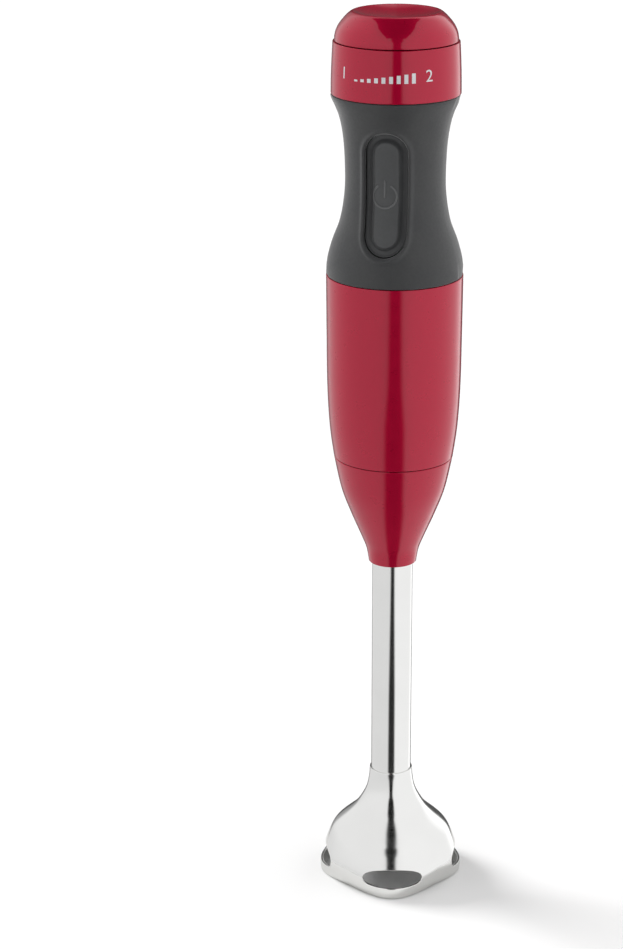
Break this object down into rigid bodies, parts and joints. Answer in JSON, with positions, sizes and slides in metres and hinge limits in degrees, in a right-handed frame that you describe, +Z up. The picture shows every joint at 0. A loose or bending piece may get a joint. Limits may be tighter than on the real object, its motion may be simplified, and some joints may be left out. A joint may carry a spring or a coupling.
{
  "type": "immersion blender",
  "caption": "Handheld blending stick: steel bell and tube with a spinning blade under a twist-off motor body with waisted grip, power button and speed dial.",
  "frame": {"origin": "on the blender's long axis, in the plane of the bell's rim that it stands on", "axes": "+Z up the long axis, -Y the handle's front with the power button, +Y the back with the cord inlet"},
  "size_m": [0.0672, 0.0672, 0.4154],
  "materials": {
    "red_gloss_plastic": "glossy dark red moulded plastic",
    "soft_touch_grip": "matt charcoal soft-touch skin",
    "brushed_steel": "fine-brushed stainless steel",
    "blade_steel": "ground stainless steel",
    "shaft_steel": "turned steel",
    "spring_steel": "bright drawn wire and zinc-plated screws",
    "black_plastic": "black glass-filled moulding",
    "white_plastic": "off-white acetal and motor end brackets",
    "black_rubber": "matt black rubber",
    "bronze": "oil-filled sintered bronze",
    "copper": "enamelled copper wire and copper bars",
    "laminations": "stacked motor laminations",
    "brass": "pressed brass",
    "carbon": "pressed carbon",
    "circuit_board": "green lacquered board",
    "aluminium": "extruded aluminium"
  },
  "bodies": {
    "blending_arm": {"bell_guard": "brushed_steel", "arm_tube": "brushed_steel", "arm_collar": "red_gloss_plastic", "bayonet_adapter": "black_plastic", "bearing_carrier": "black_plastic", "shaft_seal": "black_rubber", "lower_bush": "bronze", "upper_bush": "bronze"},
    "collar_seal": {"collar_seal": "black_rubber"},
    "blade_rotor": {"blade_shaft": "shaft_steel", "blade": "blade_steel", "blade_nut": "shaft_steel", "driven_coupling": "white_plastic"},
    "motor_body": {"motor_housing": "red_gloss_plastic", "bayonet_socket": "black_plastic", "handle_frame": "black_plastic", "grip_sleeve": "soft_touch_grip", "head_collar": "red_gloss_plastic", "head_plate": "black_plastic", "cord_gland": "black_rubber", "lower_damper": "black_rubber", "lower_bracket": "white_plastic", "lower_bearing": "shaft_steel", "stator_core": "laminations", "field_coil_left": "copper", "field_coil_right": "copper", "upper_bracket": "white_plastic", "upper_bearing": "shaft_steel", "upper_damper": "black_rubber", "motor_screw_back": "spring_steel", "motor_screw_front": "spring_steel", "brush_holder_left": "brass", "brush_holder_right": "brass", "carbon_brush_left": "carbon", "carbon_brush_right": "carbon", "brush_spring_left": "spring_steel", "brush_spring_right": "spring_steel", "brush_lead_left": "black_rubber", "brush_lead_right": "black_rubber", "control_board": "circuit_board", "capacitor": "white_plastic", "heat_sink": "aluminium", "switch_holder": "black_plastic", "power_switch": "black_plastic", "speed_switch": "black_plastic", "detent_spring": "spring_steel", "button_spring_lower": "spring_steel", "button_spring_upper": "spring_steel"},
    "armature": {"armature_shaft": "shaft_steel", "armature_core": "laminations", "armature_winding_upper": "copper", "armature_winding_lower": "copper", "commutator": "copper", "cooling_fan": "black_plastic", "drive_coupling": "black_plastic"},
    "speed_dial": {"speed_dial": "red_gloss_plastic", "dial_spindle": "white_plastic"},
    "power_button": {"power_button": "soft_touch_grip", "button_carrier": "white_plastic"}
  },
  "joints": [
    {"name": "twist_lock", "type": "hinge", "parent": "blending_arm", "child": "collar_seal", "pos_m": [0, 0, 0.2117], "axis": [0, 0, -1], "range_deg": [0, 30]},
    {"name": "lift_off", "type": "slide", "parent": "collar_seal", "child": "motor_body", "axis": [0, 0, 1], "range_m": [0, 0.075]},
    {"name": "motor_spin", "type": "hinge", "parent": "motor_body", "child": "armature", "pos_m": [0, 0, 0.26], "axis": [0, 0, -1], "continuous": true},
    {"name": "blade_spin", "type": "hinge", "parent": "blending_arm", "child": "blade_rotor", "pos_m": [0, 0, 0.1], "axis": [0, 0, -1], "continuous": true},
    {"name": "speed_dial_turn", "type": "hinge", "parent": "motor_body", "child": "speed_dial", "pos_m": [0, 0, 0.4025], "axis": [0, 0, 1], "range_deg": [0, 40]},
    {"name": "power_button_press", "type": "slide", "parent": "motor_body", "child": "power_button", "axis": [0, 1, 0], "range_m": [0, 0.0018], "stiffness_N_per_m": 600, "springref_m": -0.002, "deforming": ["button_spring_lower", "button_spring_upper"]}
  ],
  "couplings": [
    {"joint": "blade_spin", "follows": "motor_spin", "ratio": 1}
  ]
}
